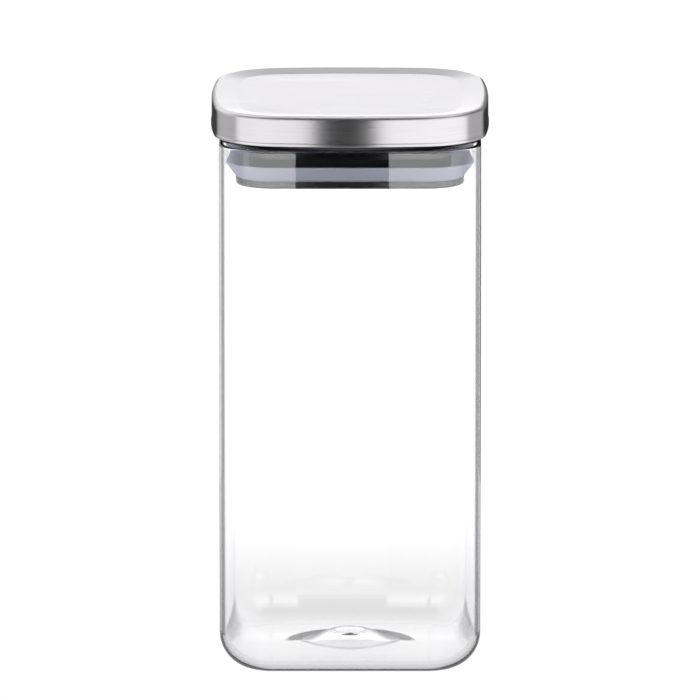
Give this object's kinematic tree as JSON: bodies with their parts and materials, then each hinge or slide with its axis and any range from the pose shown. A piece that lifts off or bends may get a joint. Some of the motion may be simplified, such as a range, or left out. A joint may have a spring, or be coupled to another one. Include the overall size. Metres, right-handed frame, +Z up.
{
  "type": "lidded glass canister",
  "caption": "Tall square clear-glass storage canister with rounded corners and a push-in brushed-steel lid sealed by a translucent silicone lip ring.",
  "frame": {"origin": "centre of the jar's base, on the surface it stands on", "axes": "+Z up along the jar's axis, -Y the front, +X to the right seen from the front"},
  "size_m": [0.1064, 0.1064, 0.219],
  "materials": {
    "clear_glass": "clear polished",
    "brushed_steel": "brushed",
    "dark_plastic": "moulded, glossy",
    "silicone": "translucent satin",
    "grey_plate": "moulded, satin"
  },
  "bodies": {
    "jar": {"glass_jar": "clear_glass"},
    "lid": {"lid_cover": "brushed_steel", "lid_core": "dark_plastic", "seal_ring": "silicone", "bottom_plate": "grey_plate"}
  },
  "joints": [
    {"name": "lid_lift", "type": "slide", "parent": "jar", "child": "lid", "axis": [0, 0, 1], "range_m": [0, 0.06]}
  ]
}
